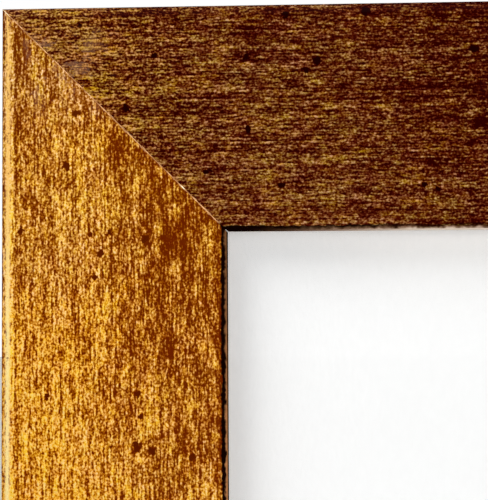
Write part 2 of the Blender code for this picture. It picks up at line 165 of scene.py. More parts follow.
class MouldingSettings(bpy.types.PropertyGroup):
    """Colours and sizes of the rails' finish. The film's own colours are added below the class."""

    speck: colour("Speck", "Dark specks spattered over the gilt", (16, 1, 1))
    scuff: colour("Scuff", "Rubbed places near the corners", (158, 120, 92))
    scratch: colour("Scratch", "Small pale knocks in the film", (226, 176, 140))
    black: colour("Sight edge black", "Painted edge next to the picture", (13, 2, 1))
    # Painted highlight: a pale colour along the side rails' round edge, with a golden end at the corners.
    painted_highlight: colour("Painted highlight", "Highlight painted along the round edge of the side rails", (255, 234, 160))
    painted_highlight_corner: colour("Painted highlight at the corners", "Golden end of the painted highlight at the corners", (248, 196, 104))
    rubbed: colour("Rubbed edge", "Wood that shows through the black beside the picture", (198, 134, 84))
    # Painted light: paler wood on the sight walls of the top and bottom rails, as the bare wood looks where
    # light falls on it.
    painted_light_wood: colour("Painted light on wood", "Bare wood painted lighter where light falls on it, under the black above the picture", (238, 219, 201))
    wood: colour("Bare wood", "Unpainted wood at the back and in the rabbet", (206, 164, 118))
    wood_grain: colour("Wood grain", "Darker grain of the bare wood", (168, 120, 78))
    grain_across: length("Grain width", "Width of the finest marks, across the rail", 0.00047)
    grain_along: length("Grain length", "Length of the finest marks, along the rail", 0.00052)
    fleck_along: length("Fleck length", "Length of the short flecks", 0.0015)
    streak_along: length("Streak length", "Length of the brushed streaks", 0.0056)
    drag_along: length("Drag length", "Length of the long brush marks", 0.026)
    contrast: amount("Contrast", "Spread of the tones over the colours", 1.20)
    black_width: length("Black width", "Width of the black paint seen from the front", 0.00098)
    relief: length("Relief", "Height of the gilt film over its ground", 0.000022)


for kind, (where, _, shades) in FILM.items():
    for step, (state, shade) in enumerate(zip(FILM_STEPS, shades)):
        shade_setting = colour(f"{state}, {kind}", f"{state} {where}", shade)
        MouldingSettings.__annotations__[f"{kind}_{step}"] = shade_setting


class SeamSettings(bpy.types.PropertyGroup):
    """The filler line in each mitre."""

    filler: colour("Filler", "Pale filler in the mitre", (222, 168, 116))
    shade: colour("Filler shade", "Stained edges of the filler", (132, 76, 34))
    chip: colour("Chip", "Fresh chips along the mitre", (255, 238, 196))
    thickness: length("Filler thickness", "Thickness of the filler between two rails", 0.00026)
    recess: length("Filler recess", "Depth of the filler below the face", 0.000006)
    reach: length("Filler depth", "How far the filler reaches into the joint", 0.0012)
    line: length("Line width", "Half the width of the pale line in the filler", 0.00008)
    chip_place: length("Chip place", "Distance of the largest chip from the outer edge", 0.0412)


class SheetSettings(bpy.types.PropertyGroup):
    """Colours of the sheets in the rabbet."""

    card: colour("Card", "Blank card behind the acrylic", (232, 232, 232))
    foam: colour("Foam board", "Paper face of the foam board", (238, 237, 232))
    board: colour("Hardboard", "Pressed fibre of the backing", (132, 94, 62))
    board_dark: colour("Hardboard fibre", "Darker fibres of the backing", (92, 60, 38))
    board_fleck: colour("Hardboard fleck", "Pale flecks of bark in the backing", (186, 150, 112))


class HardwareSettings(bpy.types.PropertyGroup):
    """Colours and sizes of the metal and rubber parts at the back."""

    zinc: colour("Zinc", "Zinc plate of the turn buttons", (214, 216, 218))
    zinc_dark: colour("Dull zinc", "Duller patches of the zinc plate", (158, 162, 166))
    steel: colour("Steel", "Bright steel of the nails and the turn buttons' screws", (206, 207, 208))
    steel_dark: colour("Dull steel", "Duller patches of the bright steel", (140, 142, 146))
    brass: colour("Brass", "Brass plate of the ring hangers", (232, 196, 118))
    brass_dark: colour("Dull brass", "Duller patches of the brass plate", (178, 134, 62))
    rubber: colour("Rubber", "Black rubber of the bumpers", (26, 26, 27))
    dust: colour("Dust", "Dusty bloom on the rubber", (74, 72, 70))
    wire: length("Ring wire", "Radius of the hangers' wire", 0.0011)
    ring_wide: length("Ring half width", "Radius of a ring's round side, to the wire's middle", 0.0083)
    ring_side: length("Ring side", "Length of a ring's straight sides, with its corner", 0.0030)
    ring_corner: length("Ring corner", "Radius of a ring's two corners", 0.0018)
    strap_wide: length("Strap half width", "Half the width of a strap and the radius of its foot", 0.0060)
    strap_length: length("Strap length", "Length of a strap below the ring's bar", 0.0330)
    sheet: length("Strap sheet", "Thickness of the folded sheet, less a hair between its leaves", 0.00078)
    eye: length("Strap eye", "Radius of the strap's eye, to the middle of the sheet", 0.0018)
    leaf: length("Strap leaf", "Distance from the ring's bar to the middle of the upper leaf", 0.0010)
    bend: length("Strap bend", "Radius of the bend where the eye meets the upper leaf", 0.0012)
    button_wide: length("Button end", "Radius of the round end about a turn button's screw", 0.0055)
    button_tip: length("Button tip", "Radius of a turn button's tip", 0.0040)
    button_reach: length("Button reach", "Distance from the pivot to the middle of the tip", 0.0210)
    button_edge: length("Button edge", "Radius of a turn button's rounded edge", 0.00028)
    hole: length("Hole", "Radius of the holes for the screws", 0.0018)
    head: length("Screw head", "Radius of a screw's pan head", 0.0034)
    head_rim: length("Head rim", "Height of the straight rim of the head", 0.0006)
    head_height: length("Head height", "Height of the head", 0.0021)
    recess: length("Recess depth", "Depth of the cross recess", 0.0011)
    screw_length: length("Screw length", "Length below the head", 0.0127)
    core: length("Screw core", "Radius at the bottom of the thread", 0.00112)
    crest: length("Thread crest", "Radius at the crest of the thread", 0.00168)
    pitch: length("Thread pitch", "Distance between two turns of the thread", 0.0011)


class StageSettings(bpy.types.PropertyGroup):
    """The floor, lamps and camera."""

    floor: colour("Floor", "Pale floor below the frame", (206, 206, 204))
    ambient: amount("Ambient", "Strength of the light from all round", 0.13)
    key: amount("Key lamp", "Strength of the soft lamp at the upper left", 1.97)
    fill: amount("Fill lamp", "Strength of the soft lamp at the lower right", 2.28)
    rear: amount("Rear lamps", "Strength of each lamp behind the frame", 1.3)
    lens: amount("Lens", "Focal length of the camera in millimetres", 110.0)


# Materials


class Value:
    """An output of a material node. Arithmetic on it adds the Math nodes that work it out."""

    def __init__(self, paint, socket):
        self.paint = paint
        self.socket = socket

    def __add__(self, other):
        return self.paint.math("ADD", self, other)

    __radd__ = __add__

    def __sub__(self, other):
        return self.paint.math("SUBTRACT", self, other)

    def __rsub__(self, other):
        return self.paint.math("SUBTRACT", other, self)

    def __mul__(self, other):
        return self.paint.math("MULTIPLY", self, other)

    __rmul__ = __mul__

    def __truediv__(self, other):
        return self.paint.math("DIVIDE", self, other)

    def __rtruediv__(self, other):
        return self.paint.math("DIVIDE", other, self)

    def __abs__(self):
        return self.paint.math("ABSOLUTE", self)


class Paint:
    """A node tree and the few ways in which its nodes are added."""

    def __init__(self, tree):
        self.tree = tree

    def add(self, kind, settings=None, sockets=None):
        """Adds a node: its settings first, then the values or links of its sockets."""
        node = self.tree.nodes.new(kind)
        for name, value in (settings or {}).items():
            if name == "stops":
                set_stops(node.color_ramp, value)
            else:
                setattr(node, name, value)
        for name, value in (sockets or {}).items():
            self.feed(node.inputs[name], value)
        return node

    def feed(self, socket, value):
        if isinstance(value, Value):
            self.tree.links.new(value.socket, socket)
        elif socket.type == "RGBA" and len(value) == 3:
            socket.default_value = (*value, 1.0)
        else:
            socket.default_value = value

    def take(self, node, output=0):
        return Value(self, node.outputs[output])

    def math(self, operation, *values):
        return self.take(self.add("ShaderNodeMath", {"operation": operation}, dict(enumerate(values))))

    def smaller(self, first, second):
        return self.math("MINIMUM", first, second)

    def larger(self, first, second):
        return self.math("MAXIMUM", first, second)

    def rise(self, value, low, high):
        """0 below low, 1 above high, and a smooth step between them."""
        node = self.add("ShaderNodeMapRange", {"interpolation_type": "SMOOTHSTEP"},
                        {"Value": value, "From Min": low, "From Max": high})
        return self.take(node)

    def mix(self, factor, first, second):
        """A colour between two, at factor of the way."""
        node = self.add("ShaderNodeMix", {"data_type": "RGBA"}, {0: factor, 6: first, 7: second})
        return self.take(node, 2)

    def scale_colour(self, base, factor):
        """A colour made lighter or darker by a value."""
        node = self.add("ShaderNodeVectorMath", {"operation": "SCALE"}, {0: base, "Scale": factor})
        return self.take(node)

    def tinted(self, base, tint):
        """A colour multiplied by another, channel by channel."""
        return self.take(self.add("ShaderNodeVectorMath", {"operation": "MULTIPLY"}, {0: base, 1: tint}))

    def ramp(self, value, stops):
        return self.take(self.add("ShaderNodeValToRGB", {"stops": stops}, {"Fac": value}))

    def place(self):
        """The three Object coordinates, in metres."""
        coordinates = self.take(self.add("ShaderNodeTexCoord"), "Object")
        node = self.add("ShaderNodeSeparateXYZ", None, {0: coordinates})
        return [self.take(node, axis) for axis in range(3)]

    def marks(self, per_metre, detail=1, start=0.0, along_z=None):
        """Noise with so many marks to a metre, or along_z of them along Z, moved by start along X."""
        x, y, z = self.place()
        x = x * per_metre + start
        return self.noise(self.point(x, y * per_metre, z * (along_z or per_metre)), detail)

    def point(self, x, y, z):
        return self.take(self.add("ShaderNodeCombineXYZ", None, {0: x, 1: y, 2: z}))

    def noise(self, point, detail=1):
        """Noise with a mean of 0 and a spread of 1 at a point that is already in pattern sizes."""
        node = self.add("ShaderNodeTexNoise", None, {"Vector": point, "Scale": 1.0, "Detail": float(detail)})
        return (self.take(node) - 0.5) / NOISE_SPREAD[detail]

    def bump(self, height, distance):
        node = self.add("ShaderNodeBump", None, {"Strength": 1.0, "Distance": distance, "Height": height})
        return self.take(node)

    def set(self, relief=None, **sockets):
        """Sets or links the shader's named sockets, and bumps its Normal by a relief: height and distance."""
        if relief:
            sockets["Normal"] = self.bump(*relief)
        for socket, value in sockets.items():
            self.feed(self.shader.inputs[socket.replace("_", " ")], value)


def set_stops(ramp, stops):
    """Gives a colour ramp its stops: pairs of place and colour, in order."""
    while len(ramp.elements) < len(stops):
        ramp.elements.new(1.0)
    for element, (place, tone) in zip(ramp.elements, stops):
        element.position = place
        element.color = (*tone, 1.0)


def new_material(name, **sockets):
    """A material and its paint. The named sockets of its shader get values that are the same all over."""
    material = bpy.data.materials.new(name)
    material.use_nodes = True
    paint = Paint(material.node_tree)
    paint.shader = material.node_tree.nodes["Principled BSDF"]
    paint.set(**sockets)
    return material, paint


def middle(node):
    """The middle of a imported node's box."""
    low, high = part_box(node)
    return (low + high) / 2


def dress(node, material):
    """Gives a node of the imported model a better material."""
    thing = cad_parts[node]
    thing.data.materials.clear()
    thing.data.materials.append(material)


def wood_colour(paint, along, across, depth, look):
    """Bare wood: fine grain that runs along the rail, with pores and slow changes of tone."""
    grain = paint.noise(paint.point(along * 14, across * 900, depth * 900), 2)
    growth = paint.noise(paint.point(along * 3, across * 140, depth * 140), 1)
    pores = paint.noise(paint.point(along * 160, across * 2400, depth * 2400), 1)
    tone = 0.42 + 0.16 * grain + 0.2 * growth
    base = paint.mix(paint.rise(tone, 0.0, 1.0), look.wood, look.wood_grain)
    return paint.scale_colour(base, 1 - 0.28 * paint.rise(pores, 1.2, 2.2)), grain


class Rail:
    """One rail's distances as shader values: along it, across it from its outer edge, and into its depth."""

    def __init__(self, paint, name):
        along_axis, across_axis, way = RAILS[name]
        low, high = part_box(name)
        place = paint.place()
        outer_edge = (low if way > 0 else high)[AXES[across_axis]]
        start, stop = low[AXES[along_axis]], high[AXES[along_axis]]
        self.paint = paint
        self.name = name
        self.upright = along_axis == "Z"
        self.along = place[AXES[along_axis]]
        self.across = (place[AXES[across_axis]] - outer_edge) * way
        self.depth = place[1]
        self.end = paint.smaller(self.along - start, stop - self.along)
        self.seed = 3.7 * (1 + list(RAILS).index(name))

    def noise(self, step_along, step_across, offset, detail=1):
        """Noise whose marks have the given length along the rail and width across it."""
        point = self.paint.point(self.along / step_along + (self.seed + offset), self.across / step_across,
                                 self.depth / step_across)
        return self.paint.noise(point, detail)

    def marks(self, kind):
        """Noise of one of the kinds in the table of marks."""
        return self.noise(*MARKS[kind])

    def fade(self, start, stop):
        """1 at a corner of the frame, falling to 0 between two distances from it."""
        return 1 - self.paint.rise(self.end, start, stop)

    def band(self, inner, outer, soft):
        """1 between two distances from the outer edge, with soft borders."""
        begin = self.paint.rise(self.across, inner - soft, inner + soft)
        return begin * (1 - self.paint.rise(self.across, outer - soft, outer + soft))


def film_tone(rail, look):
    """Lightness of the gilt film, in spreads about its middle tone.

    It is the sum of layers of marks, each longer along the rail than the one before, and of slow changes,
    which are painted light and painted shade: the side rails are darker next to the corners and towards the
    picture, and the top and bottom rails are lighter next to the corners. The round outer edge gets a painted
    highlight on the side rails and a painted shade on the top and bottom rails, and the outer side is darker.
    """
    grain = rail.noise(look.grain_along, look.grain_across, 0.0)
    fleck = rail.noise(look.fleck_along, FLECK_WIDE, 5.0)
    streak = rail.noise(look.streak_along, STREAK_WIDE, 11.0)
    drag = rail.noise(look.drag_along, DRAG_WIDE, 17.0)
    cloud, patch = rail.marks("cloud"), rail.marks("patch")
    marks = 0.65 * grain + 0.60 * fleck + 0.36 * streak + 0.30 * drag + 0.20 * patch
    fine = 0.90 * grain - 0.36 * patch - 0.18 * cloud
    rise, fade, band = rail.paint.rise, rail.fade, rail.band
    if rail.upright:
        contrast = 1.05 * look.contrast
        inner = rise(rail.across, 0.018, 0.040)
        marks = marks * (1 - 0.06 * inner) * (1 - 0.09 * fade(0.040, 0.075))
        marks = marks + (0.03 + 0.20 * inner) * cloud + 0.15 * inner * patch
        # Painted light: the side rails grow lighter away from the corners, up to a tenth of a metre along the
        # rail.
        along = 13.5 * rail.paint.smaller(rail.end, 0.1) - 1.54
        corner = 0.13 * fade(0.050, 0.070) - 0.38 * fade(0.012, 0.035) - 0.25 * fade(0.006, 0.018)
        # Painted highlight along the round outer edge of the side rails, a darker band just inside it, and
        # more highlight near the corners.
        round_light_and_shade = band(0.0003, 0.0031, 0.0003) - 0.9 * band(0.0033, 0.0043, 0.0003)
        round_light_and_shade = round_light_and_shade + 0.7 * band(0.0014, 0.0026, 0.0005) * fade(0.025, 0.055)
        # Painted shade: the side rails grow darker towards the picture.
        inwards = 0.17 * band(0.013, 0.022, 0.003) - 1.15 * rise(rail.across, 0.016, 0.038)
        inwards = inwards - 0.12 * rise(rail.across, 0.036, 0.044)
        beside_sight = -1.2 * rise(rail.across, FACE_WIDTH - 0.0030, FACE_WIDTH - 0.0012)
    else:
        contrast = look.contrast
        marks = marks * (1 + 0.22 * fade(0.02, 0.06)) + 0.10 * cloud
        # Painted light and painted shade: the top and bottom rails are lighter next to the corners and darker
        # farther along.
        along = -0.75 * rise(rail.end, 0.065, 0.125) - 0.14
        corner = 1.17 * fade(0.0, 0.05)
        # A narrow lighter line at the very edge, then a band of painted shade on the round outer edge of the
        # top and bottom rails.
        round_light_and_shade = 0.5 * band(0.0004, 0.0011, 0.0003) - 0.6 * band(0.0014, 0.0042, 0.0004)
        inwards = 0.35 * rise(rail.across, 0.030, 0.040)
        inwards = inwards - 0.26 * band(0.014, 0.026, 0.005) * rise(rail.end, 0.050, 0.085)
        rim = band(FACE_WIDTH - 0.0022, FACE_WIDTH - 0.0008, 0.0003)
        beside_sight = rim * (0.8 - 1.5 * rise(rail.end, 0.078, 0.094))
    drift = 0.1 * rail.marks("drift")
    # Darker outer side and outermost part of the round: partly a darker finish on the side, partly painted
    # shade where the round turns away from the front.
    dark_side_and_shade = 0.7 * (1 - rise(rail.across, 0.0005, 0.0011))
    tone = contrast * marks + along + corner + round_light_and_shade + inwards + beside_sight + drift - dark_side_and_shade
    return tone, fine, fleck, streak


def film_ramp(paint, look, kind, tone):
    """The film's colour for each tone, from one of its three sets of colours."""
    _, tones, _ = FILM[kind]
    stops = [(0.5 + place / TONE_RANGE, getattr(look, f"{kind}_{step}")) for step, place in enumerate(tones)]
    return paint.ramp(0.5 + tone / TONE_RANGE, stops)


def film_colour(rail, look, tone, fine):
    """The film's colour: one set for level rails, and two for upright ones, which mix near the corners. The
    upright sets are lighter and the level set darker: painted light and painted shade on one moulding.

    Its blue follows the finest marks, and slower changes make it more olive or more red.
    """
    paint = rail.paint
    plain = (1.0, 1.0, 1.0)
    dull, vivid, reach = (1.60, 0.30, 0.015) if rail.upright else (1.90, 0.12, 0.050)
    warm = fine + 0.25 * rail.marks("warmth")
    olive = 0.75 * rail.marks("olive") + 0.66 * rail.marks("wide olive")
    tint = paint.mix(paint.rise(warm, -2.4, 2.4), (1.0, 1.0, vivid), (1.0, 1.0, dull))
    cast = paint.mix(paint.rise(olive, -2.4, 2.4), (1 - reach, 1 + reach, 0.92), (1 + reach, 1 - reach, 1.06))
    tint = paint.tinted(tint, cast)
    if not rail.upright:
        tint = paint.tinted(tint, paint.mix(rail.fade(0.02, 0.055), plain, (1.04, 0.98, 0.70)))
        # The level set is darker than the side rails' sets: painted shade on the top and bottom rails.
        return paint.tinted(film_ramp(paint, look, "level", tone), tint)
    pale = 0.4 * paint.larger(rail.fade(0.055, 0.075), paint.rise(rail.across, 0.012, 0.040))
    pale = paint.larger(pale, rail.fade(0.014, 0.040))
    pale = paint.smaller(paint.larger(pale + 0.10 * rail.marks("thinning"), 0.0), 1.0)
    tint = paint.tinted(tint, paint.mix(rail.fade(0.045, 0.075), plain, (1.0, 1.04, 1.0)))
    # The side rails' sets are lighter than the level set: painted light on the side rails.
    film = paint.mix(pale, film_ramp(paint, look, "upright", tone), film_ramp(paint, look, "pale", tone))
    return paint.tinted(film, tint)


def spatter(rail, ragged):
    """Two masks from one spread of random points: round dark specks, and a few small pale knocks."""
    paint = rail.paint
    spacing = 0.0125
    point = paint.point(rail.along / spacing + rail.seed, rail.across / spacing, rail.depth / spacing)
    cells = paint.add("ShaderNodeTexVoronoi", {"feature": "F1"}, {"Vector": point, "Scale": 1.0})
    chance = paint.take(paint.add("ShaderNodeSeparateColor", None, {0: paint.take(cells, "Color")}))
    reach = paint.take(cells, "Distance") + 0.008 * ragged
    radius = 0.025 + 0.045 * chance
    speck = (1 - paint.rise(reach, 0.5 * radius, radius + 0.014)) * paint.rise(chance, 0.40, 0.42)
    knock = (1 - paint.rise(reach, 0.010, 0.022)) * (1 - paint.rise(chance, 0.10, 0.11))
    return speck, knock


def placed_spots(rail, places, ragged, fray, squeeze):
    """Spots of the top left corner, each soft and frayed about its own place on the rail."""
    paint = rail.paint
    total = 0.0
    for spot in places.get(rail.name, ()):
        along, across, radius = (distance / 1000 for distance in spot)
        start = TOP_Z - along if rail.upright else along - OUTER_X
        aside = (rail.along - start) * squeeze
        apart = paint.math("SQRT", aside * aside + paint.math("POWER", rail.across - across, 2.0))
        total = total + (1 - paint.rise(apart + fray * ragged, 0.65 * radius, 1.5 * radius))
    return paint.smaller(total, 1.0)


def sight_paint(rail, look, ragged):
    """Black paint along the sight edge, rubbed down to the wood on its inner slope away from the corners."""
    paint = rail.paint
    rise = paint.rise
    wander = 0.00006 * ragged + 0.00006 * rail.marks("wander")
    fray = 0.00007 * ragged + 0.00012 * rail.marks("fray")
    inwards = rail.depth + fray
    widening = 1.10 if rail.upright else 0.80 + 0.17 * rise(rail.end, 0.055, 0.085)
    begin = FACE_WIDTH - look.black_width * widening
    sight = rise(rail.across + wander, begin - 0.00018, begin + 0.00012)
    if rail.upright:
        rubbed = rise(inwards, FRONT_Y + 0.00045, FRONT_Y + 0.00095)
        rubbed = rubbed * (1 - rise(inwards, FRONT_Y + 0.0026, FRONT_Y + 0.0038))
        rubbed = rubbed * (0.28 + 0.4 * rise(rail.end, 0.05, 0.11))
        return sight, paint.mix(rubbed, look.black, look.rubbed)
    worn = rise(rail.end, 0.080, 0.092) * (1 - rise(rail.depth, FRONT_Y + 0.0003, FRONT_Y + 0.0006))
    # On the top and bottom rails the wall turns from rubbed wood to a paler wood deeper down: bare wood
    # painted lighter, as where light falls on it.
    rubbed = rise(inwards, FRONT_Y + 0.0001, FRONT_Y + 0.0014) * rise(rail.end, 0.054, 0.100)
    ground = paint.mix(rubbed, look.rubbed, look.painted_light_wood)
    return sight * (1 - 0.3 * worn), paint.mix(rubbed, look.black, ground)


def bare_parts(rail, ragged):
    """1 on the wood that was never gilt: inside the rabbet, on its ledge and at the back."""
    rise = rail.paint.rise
    inner_side = rise(rail.across, OUTER_ROUND + 0.0001, OUTER_ROUND + 0.0004)
    inside = inner_side * rise(rail.depth, FRONT_Y + 0.0002, FRONT_Y + 0.0005)
    inside = inside * (1 - rise(rail.across, FACE_WIDTH - 0.0011, FACE_WIDTH - 0.0010))
    behind = rise(rail.depth + 0.0002 * ragged, BACK_Y - 0.0012, BACK_Y - 0.0007)
    ledge = inner_side * rise(rail.depth, LEDGE_Y - 0.0003, LEDGE_Y - 0.0001)
    return rail.paint.smaller(inside + behind + ledge, 1.0)


def gilt_material(name, look, seam):
    """The finish of one rail: gilt film over a dark ground on its face, round and outer side.

    Everything is worked out from three distances: along the rail, across it from its outer edge, and y.
    """
    material, paint = new_material(f"gilt_{name}", Specular_IOR_Level=0.0, Coat_Roughness=0.24)
    rail = Rail(paint, name)
    tone, fine, fleck, streak = film_tone(rail, look)
    ragged = rail.marks("ragged")
    tone = tone - 1.2 * placed_spots(rail, STAINS, ragged, 0.0005, 0.65)
    speck, knock = spatter(rail, ragged)
    speck = paint.larger(speck, placed_spots(rail, SPECKS, ragged, 0.00016, 0.85))
    tone = tone - 4.5 * speck
    film = film_colour(rail, look, tone, fine)
    gilt = paint.rise(tone, -1.6, 1.6)

    depth_of_speck = 0.35 if rail.upright else 0.75
    film = paint.mix(depth_of_speck * paint.rise(speck, 0.5, 1.0), film, look.speck)
    film = paint.mix(0.8 * knock, film, look.scratch)

    rub = rail.marks("rub") + 0.7 * rail.marks("fine rub")
    scuff = paint.rise(rub, 0.4, 2.2) * rail.fade(0.014, 0.028) * paint.rise(rail.across, 0.004, 0.007)
    film = paint.mix(0.32 * scuff, film, look.scuff)

    # Painted highlight: a pale band on the round edge of the side rails, golden near the corners, in place of
    # a lamp's reflection.
    if rail.upright:
        painted_highlight = rail.band(0.0012, 0.0021, 0.0004) * paint.rise(tone + 0.4 * ragged, -4.4, 0.0)
        highlight_colour = paint.mix(rail.fade(0.035, 0.080), look.painted_highlight, look.painted_highlight_corner)
        film = paint.mix(0.80 * painted_highlight, film, highlight_colour)

    from_mitre = (rail.end - rail.across) * SLANT
    crumb = paint.rise(rail.marks("crumb"), 0.9, 1.8)
    chipped = crumb * (1 - paint.rise(from_mitre, 0.00006, 0.00016))
    film = paint.mix(0.6 * chipped * paint.rise(rail.across, 0.0004, 0.0012), film, seam.filler)

    wood, wood_grain = wood_colour(paint, rail.along, rail.across, rail.depth, look)
    sight, sight_colour = sight_paint(rail, look, ragged)
    film = paint.mix(sight, film, sight_colour)
    bare = bare_parts(rail, ragged)
    covered = 1 - bare
    polish = rail.band(0.0009, 0.0023, 0.0003) * covered * (0.5 if rail.upright else 0.06)
    height = (0.6 * fleck + 0.8 * streak) * covered * (1 - sight) + 0.6 * wood_grain * bare
    paint.set(Base_Color=paint.mix(bare, film, wood),
              Metallic=0.6 * gilt * covered * (1 - sight) * (1 - speck),
              Roughness=0.46 - 0.1 * gilt + 0.03 * fleck + 0.25 * bare,
              Coat_Weight=polish, relief=(height, look.relief))
    return material


def seam_material(look, seam):
    """Pale filler with a few fresh chips and stained edges, black where the sight edge is painted."""
    material, paint = new_material("mitre_filler", Specular_IOR_Level=0.0)
    rise = paint.rise
    x, _, z = paint.place()
    from_side, from_level = OUTER_X - abs(x), (TOP_Z - CENTRE_Z) - abs(z - CENTRE_Z)
    across = (from_side + from_level) * 0.5
    aside = abs(from_side - from_level) * SLANT
    tone = paint.marks(900, 2)
    worn = paint.marks(420, 1, 4.0)
    border = 0.00002 * tone
    pale = 1 - rise(aside, 0.7 * seam.line + border, seam.line + 0.00002 + border)
    pale = pale * (0.35 + 0.65 * rise(worn, -1.4, 0.6))
    base = paint.mix(pale, seam.shade, paint.scale_colour(seam.filler, 0.94 + 0.1 * tone))
    top_left = paint.math("LESS_THAN", x, 0.0) * paint.math("GREATER_THAN", z, CENTRE_Z)
    main_chip = top_left * (1 - rise(abs(across - seam.chip_place), 0.0001, 0.0006))
    bare_end = 0.7 * pale * (1 - rise(across, 0.0012, 0.0024))
    chip = paint.larger(paint.larger(0.7 * rise(worn, 1.6, 2.2) * pale, main_chip), bare_end)
    base = paint.mix(chip, base, seam.chip)
    black_edge = FACE_WIDTH - look.black_width
    dark = rise(across + 0.0001 * tone, black_edge - 0.0012, black_edge - 0.0002)
    paint.set(Base_Color=paint.mix(dark, base, look.black), Roughness=0.6 + 0.05 * tone,
              relief=(tone, 0.00001))
    return material


def card_material(sheets):
    """Smooth white card with a faint fibre."""
    material, paint = new_material("blank_card", Specular_IOR_Level=0.2)
    fibre = paint.marks(900, 2, along_z=500)
    cloud = paint.marks(30)
    paint.set(Base_Color=paint.scale_colour(sheets.card, 0.995 + 0.004 * fibre + 0.002 * cloud),
              Roughness=0.88 + 0.03 * fibre, relief=(fibre, 0.000004))
    return material


def acrylic_material():
    """Clear acrylic: a thin gloss that grows towards grazing angles, over what lies behind."""
    material = bpy.data.materials.new("clear_acrylic")
    material.use_nodes = True
    paint = Paint(material.node_tree)
    paint.tree.nodes.remove(paint.tree.nodes["Principled BSDF"])
    bump = paint.bump(paint.marks(9), 0.00002)
    clear = paint.take(paint.add("ShaderNodeBsdfTransparent", None, {"Color": (0.997, 0.998, 0.998)}))
    gloss = paint.take(paint.add("ShaderNodeBsdfGlossy", None,
                                 {"Color": (1.0, 1.0, 1.0), "Roughness": 0.03, "Normal": bump}))
    fresnel = paint.take(paint.add("ShaderNodeFresnel", None, {"IOR": 1.49}))
    from_inside = paint.take(paint.add("ShaderNodeNewGeometry"), "Backfacing")
    shine = fresnel * (1 - from_inside)
    mixed = paint.take(paint.add("ShaderNodeMixShader", None, {0: shine, 1: clear, 2: gloss}))
    paint.feed(paint.tree.nodes["Material Output"].inputs["Surface"], mixed)
    return material


def foam_material(sheets):
    """Foam board: smooth paper faces and a bubbly core at its edges."""
    material, paint = new_material("foam_board", Specular_IOR_Level=0.2)
    core = 1 - paint.rise(abs(paint.place()[1] - middle("foam_board").y), 0.0020, 0.0022)
    bubbles = paint.marks(1600)
    fibre = paint.marks(700, 2)
    light = 0.97 + 0.015 * fibre - 0.05 * core * paint.rise(bubbles, 0.0, 1.5)
    paint.set(Base_Color=paint.scale_colour(sheets.foam, light), Roughness=0.86 + 0.02 * fibre,
              relief=(bubbles * core, 0.00005))
    return material


def hardboard_material(sheets):
    """Hardboard backing: matted fibres, with the woven print of the press screen on its back."""
    material, paint = new_material("hardboard", Specular_IOR_Level=0.25)
    x, _, z = paint.place()
    weave = 0.0019
    turns_per_metre = 2 * math.pi / weave
    wander = 0.2 * paint.marks(120)
    rows = paint.math("SINE", (x + z) * turns_per_metre + wander)
    columns = paint.math("SINE", (x - z) * turns_per_metre + wander)
    screen = rows * columns
    fibre = paint.marks(900, 2, along_z=420)
    clump = paint.marks(26, 3, 2.0, 14)
    tone = 0.42 + 0.08 * fibre + 0.03 * clump - 0.12 * screen
    base = paint.mix(paint.rise(tone, 0.0, 1.0), sheets.board, sheets.board_dark)
    fleck = paint.rise(paint.marks(1300, 1, 9.0, 500), 1.7, 2.6)
    paint.set(Base_Color=paint.mix(0.5 * fleck, base, sheets.board_fleck), Roughness=0.7 + 0.04 * fibre,
              relief=(screen + 0.3 * fibre, 0.00011))
    return material


def metal_material(name, bright, dark, roughness):
    """Plated steel: cloudy plating, fine hammering and duller, rougher patches."""
    material, paint = new_material(name, Metallic=1.0)
    cloud = paint.marks(420, 2)
    spangle = paint.marks(1500, 1, 3.0)
    hair = paint.marks(5200, along_z=1300)
    tarnish = paint.rise(paint.marks(260, 3, 8.0), 0.6, 2.2)
    tone = 0.28 + 0.09 * cloud + 0.07 * spangle + 0.28 * tarnish
    paint.set(Base_Color=paint.mix(paint.rise(tone, 0.0, 1.0), bright, dark),
              Roughness=roughness + 0.05 * cloud + 0.03 * spangle + 0.12 * tarnish,
              relief=(0.3 * hair + 0.3 * cloud, 0.000006))
    return material


def rubber_material(parts):
    """Soft black rubber with a dusty bloom."""
    material, paint = new_material("black_rubber", Specular_IOR_Level=0.35)
    grain = paint.marks(3000, 2)
    bloom = 0.45 * paint.rise(paint.marks(380, 3), -0.6, 2.6)
    paint.set(Base_Color=paint.mix(bloom, parts.rubber, parts.dust), Roughness=0.72 + 0.06 * grain,
              relief=(grain, 0.00002))
    return material


# Surfaces


def joined(*numbers):
    """Points, or faces, from arrays of their first, second and later numbers, spread to one shape."""
    return np.stack(np.broadcast_arrays(*numbers), axis=-1)


def grid_faces(rows, columns, close_rows=False, close_columns=False):
    """Four-sided faces of a grid of points whose rows or columns may close on themselves."""
    row = np.arange(rows if close_rows else rows - 1)
    column = np.arange(columns if close_columns else columns - 1)
    row, column = np.meshgrid(row, column, indexing="ij")
    next_row, next_column = (row + 1) % rows, (column + 1) % columns
    return joined(row * columns + column, row * columns + next_column,
                  next_row * columns + next_column, next_row * columns + column).reshape(-1, 4)


def fan(loop, hub):
    """Three-sided faces from a closed loop of points to one point in its middle."""
    return joined(hub, loop, np.roll(loop, -1))


def closed_tube(points):
    """Points and faces of a tube of closed rows, with a fan of faces over each of its ends."""
    stations, around = points.shape[:2]
    middles = points[[0, -1]].mean(axis=1)
    index = np.arange(around)
    faces = grid_faces(stations, around, close_columns=True).tolist()
    faces += fan(index[::-1], stations * around).tolist()
    faces += fan((stations - 1) * around + index, stations * around + 1).tolist()
    return np.concatenate([points.reshape(-1, 3), middles]), faces


def turned_outwards(points, faces):
    """The faces of a closed surface, all turned over if the volume that they enclose comes out negative."""
    other_halves = [[face[0], *face[2:]] for face in faces if len(face) == 4]
    corners = np.array([face[:3] for face in faces] + other_halves)
    first, second, third = (points[corners[:, column]] for column in range(3))
    volume = (first * np.cross(second, third)).sum()
    return [face[::-1] for face in faces] if volume < 0 else faces


